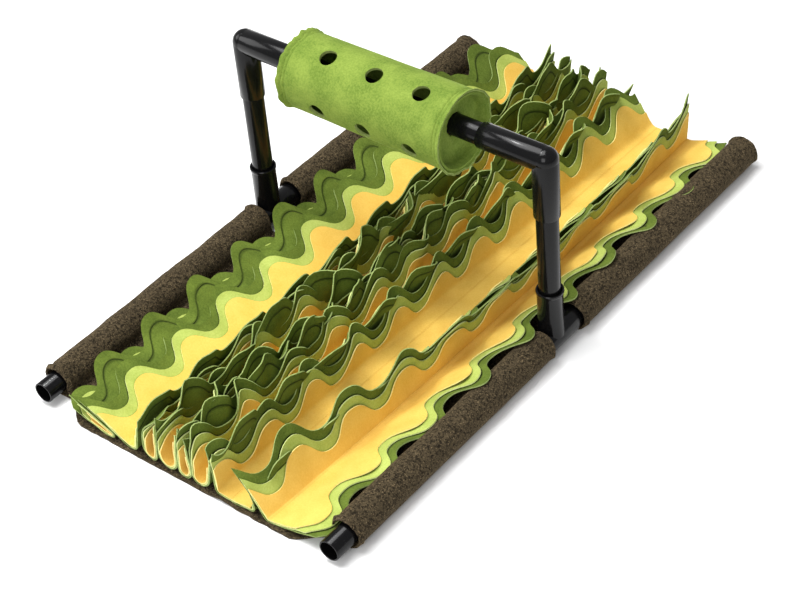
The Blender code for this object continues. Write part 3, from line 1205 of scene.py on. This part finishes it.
    def paint_cut_highlight(self, wall: bpy.types.Object) -> None:
        """Gives the holes' walls and the rims the paler cut-felt material, a painted highlight where the cut
        edges catch light.

        Args:
            wall: The wall with its holes cut.
        """
        axis = Vector((0, -MIDDLE_Y * MM, ROLLER_Z * MM))
        for face in wall.data.polygons:
            arm = face.center - axis
            height = abs(face.center.x / MM - self.centre_x)
            arm.x = 0
            inner = self.radius(0) - self.wall - 0.3
            facing = abs(arm.normalized().dot(face.normal))
            if facing < 0.35 and arm.length / MM > inner - 2 and height < self.half_length + 3:
                face.material_index = 1

    def cup_radius(self, height: float) -> float:
        """The outer radius of a cup at a height along the roller, just inside the wall."""
        return self.radius(height) - self.wall - self.cup_play

    def cup_profile(self, way: int) -> list[tuple[float, float]]:
        """A cup's section: its side against the wall, its floor, the hole's lip, and back along the inside.

        Args:
            way: 1 for the cup at the right end, -1 for the left.

        Returns:
            Radius and height of each corner.
        """
        rim, wall = self.half_length, self.cup_wall
        neck, floor = rim - self.rim, rim - self.cup_depth
        inner = floor + wall
        corner = self.cup_radius(way * neck)
        edge = self.bar_hole + 0.6
        side_heights = [way * height for height in (rim - 1, rim - 4, neck, floor + 3)]
        side = [(self.cup_radius(height), height) for height in side_heights]
        side += [(corner - 0.6, way * (floor + 0.8)), (corner - 2.4, way * floor)]
        under = [(radius, way * floor) for radius in (30.0, 24.0, edge)]
        lip = [(self.bar_hole, way * (floor + 0.5)), (self.bar_hole, way * (inner - 0.5))]
        top = [(radius, way * inner) for radius in (edge, 24.0, 30.0)]
        top += [(corner - wall - 1.6, way * inner), (corner - wall, way * (inner + 1.6))]
        inside_heights = [way * height for height in (neck, rim - 4, rim - 1)]
        inside = [(self.cup_radius(height) - wall, height) for height in inside_heights]
        return side + under + lip + top + inside

    def build_cup(self, side: Side) -> bpy.types.Object:
        """Makes one recessed cup, whose hole is drawn in round the crossbar that passes through it.

        Args:
            side: Which end of the roller.

        Returns:
            The finished piece.
        """
        way = side.value
        form = spun(self.cup_profile(way), 72, True)
        for vertex in form.verts:
            angle = math.atan2(vertex.co.y, vertex.co.x)
            radius = math.hypot(vertex.co.x, vertex.co.y) / MM
            share = smooth_step((34 - radius) / 10) * 0.7
            across, up = 3 * math.cos(angle) + 9, 3 * math.sin(angle)
            vertex.co.z += MM * share * wander(Curve.CUP_FLOOR + way, across, up)
            near = smooth_step((26 - radius) / (26 - self.bar_hole))
            vertex.co.x -= MM * near * (BAR_Z - ROLLER_Z + self.bar_gap * math.cos(angle))
            vertex.co.y -= MM * near * self.bar_gap * math.sin(angle)
        self.lay(form)
        name = f"roller_end_{side.name.lower()}"
        cup = link(name + "_felt", form, self.wardrobe.roller)
        cup.data.set_sharp_from_angle(angle=math.radians(60))
        settle(cup, name)
        width = 2 * (self.cup_radius(way * (self.half_length - self.rim)) + self.cup_depth) * MM
        self.cut_share * width * width
        return cup


# Tube frame


@dataclass
class TubeFrame:
    """The plastic rails, tees, uprights, elbows and crossbar."""

    wardrobe: Wardrobe
    tube: float = 11.0
    wall: float = 1.5
    fitting: float = 13.0
    socket_gap: float = 0.3
    lip: float = 1.0
    tee_half: float = 34.0
    tee_top: float = 76.0
    leg_down: float = 64.0
    leg_across: float = 71.0
    elbow_stop: float = 13.0
    tube_stop: float = 10.0
    front_y: dict[Side, float] = field(default_factory=lambda: {Side.LEFT: -337.0, Side.RIGHT: -342.0})
    rail_back: float = 351.0
    sides: int = 64

    def place(self, form: bmesh.types.BMesh, start: Vector, end: Vector) -> None:
        """Moves a form from the Z axis to a line.

        Args:
            form: The form, which is moved.
            start: Where its origin goes, in millimetres.
            end: The point that its Z axis then passes through.
        """
        along = end - start
        turn = along.to_track_quat("Z", "Y").to_matrix().to_4x4()
        shift = Vector((start.x, start.y - MIDDLE_Y, start.z)) * MM
        bmesh.ops.transform(form, matrix=Matrix.Translation(shift) @ turn, verts=form.verts)

    def pipe(
        self, start: Vector, end: Vector, radius: float, wall: float, soft: float = 0.6
    ) -> bmesh.types.BMesh:
        """A pipe with rounded mouths.

        Args:
            start: One end of its axis, in millimetres.
            end: The other end.
            radius: Its outer radius.
            wall: Its wall.
            soft: The radius of its mouths' corners.

        Returns:
            The form, in place.
        """
        length = (end - start).length
        outer = [*reversed(rounded_rim(radius, 0, -1, soft)), *rounded_rim(radius, length, 1, soft)]
        hole = radius - wall
        inner = [(hole + 0.3, length), (hole, length - 0.3), (hole, 0.3), (hole + 0.3, 0)]
        form = spun(outer + inner, self.sides, True)
        self.place(form, start, end)
        return form

    def merge(self, name: str, forms: Sequence[bmesh.types.BMesh]) -> bpy.types.Object:
        """Puts several forms into one piece.

        Args:
            name: The piece's name.
            forms: The forms, which are freed.

        Returns:
            The new piece.
        """
        whole = bmesh.new()
        for form in forms:
            part = bpy.data.meshes.new("part")
            form.to_mesh(part)
            form.free()
            whole.from_mesh(part)
            bpy.data.meshes.remove(part)
        thing = link(name, whole, self.wardrobe.plastic)
        thing.data.set_sharp_from_angle(angle=math.radians(35))
        return thing

    def add_tube(self, node: str, start: Vector, end: Vector) -> bpy.types.Object:
        """Makes one straight tube."""
        piece = self.merge(node + "_tube", [self.pipe(start, end, self.tube, self.wall)])
        return settle(piece, node)

    def add_tee(self, side: Side) -> bpy.types.Object:
        """Makes one tee, with its lipped socket for the upright.

        Args:
            side: Which side of the mat.

        Returns:
            The finished piece.
        """
        x = side.value * RAIL_X
        thick = self.fitting - self.tube - self.socket_gap
        front, back = Vector((x, -self.tee_half, RAIL_Z)), Vector((x, self.tee_half, RAIL_Z))
        run = self.pipe(front, back, self.fitting, thick, 0.9)
        leg = spun(self.socket_profile(self.tee_top - RAIL_Z), self.sides, True)
        self.place(leg, Vector((x, 0, RAIL_Z)), Vector((x, 0, self.tee_top)))
        piece = self.merge(f"tee_{side.name.lower()}_fitting", [run, leg])
        return settle(piece, f"tee_{side.name.lower()}")

    def socket_profile(self, length: float) -> list[tuple[float, float]]:
        """The section of the tee's upright leg, which starts inside the run and ends in a lip.

        Args:
            length: From the run's axis to the lip's top.

        Returns:
            Radius and height of each corner.
        """
        outer = self.fitting - 0.1
        hole = self.tube + self.socket_gap
        lip = outer + self.lip
        side = [(outer, 5.0), (outer, length - 5.0), (outer + 0.5, length - 3.6), (lip, length - 2.6)]
        mouth = [(lip, length - 0.7), (lip - 0.5, length), (hole + 0.9, length), (hole, length - 0.9)]
        return side + mouth + [(hole, 5.0)]

    def add_elbow(self, side: Side) -> bpy.types.Object:
        """Makes one elbow, whose outer corner is a ball.

        Args:
            side: Which side of the mat.

        Returns:
            The finished piece.
        """
        x = side.value * RAIL_X
        corner = Vector((x, 0, BAR_Z))
        down = Vector((x, 0, BAR_Z - self.leg_down))
        inward = Vector((x - side.value * self.leg_across, 0, BAR_Z))
        thick = self.fitting - self.tube - self.socket_gap
        legs = [self.pipe(corner, mouth, self.fitting, thick, 0.8) for mouth in (down, inward)]
        ball = bmesh.new()
        bmesh.ops.create_uvsphere(ball, u_segments=64, v_segments=32, radius=(self.fitting + 0.04) * MM)
        bmesh.ops.translate(ball, vec=(x * MM, -MIDDLE_Y * MM, BAR_Z * MM), verts=ball.verts)
        piece = self.merge(f"elbow_{side.name.lower()}_fitting", [*legs, ball])
        return settle(piece, f"elbow_{side.name.lower()}")

    def build(self) -> list[bpy.types.Object]:
        """Makes the whole frame.

        Returns:
            Its pieces.
        """
        bar_end = RAIL_X - self.elbow_stop
        made = [self.add_tube("crossbar", Vector((-bar_end, 0, BAR_Z)), Vector((bar_end, 0, BAR_Z)))]
        for side in Side:
            x, name = side.value * RAIL_X, side.name.lower()
            front, back = Vector((x, self.front_y[side], RAIL_Z)), Vector((x, self.rail_back, RAIL_Z))
            made.append(self.add_tube(f"rail_front_{name}", front, Vector((x, -self.tube_stop, RAIL_Z))))
            made.append(self.add_tube(f"rail_back_{name}", Vector((x, self.tube_stop, RAIL_Z)), back))
            foot, head = RAIL_Z + self.fitting, BAR_Z - self.elbow_stop
            made.append(self.add_tube(f"upright_{name}", Vector((x, 0, foot)), Vector((x, 0, head))))
            made += [self.add_tee(side), self.add_elbow(side)]
        return made


# Studio


@dataclass(frozen=True)
class Lamp:
    """One soft area light."""

    name: str
    place: tuple[float, float, float]
    size: float
    power: float


@dataclass
class Studio:
    """The floor, the soft lights and the camera at the photograph's angle."""

    wardrobe: Wardrobe
    azimuth: float = 41.44
    elevation: float = 40.17
    roll: float = -5.38
    lens: float = 99.35
    camera_place: tuple[float, float, float] = (1134.2, -1302.7, 1437.0)
    sky: float = 0.45
    lamps: tuple[Lamp, ...] = (
        Lamp("top_softbox", (-0.45, -0.25, 2.3), 1.5, 60),
        Lamp("left_softbox", (-2.0, -0.9, 1.4), 1.2, 20),
        Lamp("front_softbox", (0.9, -2.2, 1.5), 1.3, 25),
        Lamp("small_lamp", (-0.6, -0.2, 1.9), 0.16, 7),
    )

    def build(self) -> None:
        """Makes the studio."""
        self.build_floor()
        for lamp in self.lamps:
            self.add_lamp(lamp)
        self.build_world()
        self.build_camera()

    def build_floor(self) -> None:
        """Makes the pale floor."""
        form = bmesh.new()
        bmesh.ops.create_grid(form, x_segments=1, y_segments=1, size=8.0)
        bmesh.ops.translate(form, vec=(0, 0, -0.0004), verts=form.verts)
        link("studio_floor", form, self.wardrobe.floor)

    def add_lamp(self, lamp: Lamp) -> None:
        """Hangs one soft light that faces the mat.

        Args:
            lamp: Its name, place, size and power.
        """
        data = bpy.data.lights.new(lamp.name, "AREA")
        data.shape = "SQUARE"
        data.size = lamp.size
        data.energy = lamp.power
        thing = bpy.data.objects.new(lamp.name, data)
        thing.location = lamp.place
        thing.rotation_euler = Vector(lamp.place).to_track_quat("Z", "Y").to_euler()
        bpy.context.scene.collection.objects.link(thing)

    def build_world(self) -> None:
        """Lights the scene evenly from all round."""
        world = bpy.data.worlds.new("studio")
        world.use_nodes = True
        sky = world.node_tree.nodes["Background"]
        sky.inputs["Color"].default_value = (1, 1, 1, 1)
        sky.inputs["Strength"].default_value = self.sky
        bpy.context.scene.world = world
        bpy.context.scene.view_settings.view_transform = "Standard"

    def build_camera(self) -> None:
        """Places the camera at the photograph's angle."""
        data = bpy.data.cameras.new("photo_camera")
        data.sensor_width = 36
        data.lens = self.lens
        data.clip_end = 50
        turn, lift, roll = (math.radians(angle) for angle in (self.azimuth, self.elevation, self.roll))
        back = Vector((math.sin(turn) * math.cos(lift), -math.cos(turn) * math.cos(lift), math.sin(lift)))
        right = Vector((math.cos(turn), math.sin(turn), 0))
        up = back.cross(right)
        tipped_right = right * math.cos(roll) + up * math.sin(roll)
        tipped_up = up * math.cos(roll) - right * math.sin(roll)
        matrix = Matrix((tipped_right, tipped_up, back)).transposed().to_4x4()
        matrix.translation = Vector(self.camera_place) * MM
        camera = bpy.data.objects.new("photo_camera", data)
        camera.matrix_world = matrix
        bpy.context.scene.collection.objects.link(camera)
        bpy.context.scene.camera = camera


def main() -> None:
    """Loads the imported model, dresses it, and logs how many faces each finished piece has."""
    logging.basicConfig(level=logging.INFO, format="%(name)s %(message)s")
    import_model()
    wardrobe = Wardrobe()
    pieces = [*TubeFrame(wardrobe).build(), FleeceBase(wardrobe).build()]
    for number, cut in enumerate(ROW_TABLE, 1):
        pieces += StripRow(cut, wardrobe, number).build()
    pieces += Roller(wardrobe).build()
    for piece in pieces:
        LOG.info("%s: %d faces", piece.name, len(piece.data.polygons))
    Studio(wardrobe).build()


if __name__ == "__main__":
    main()
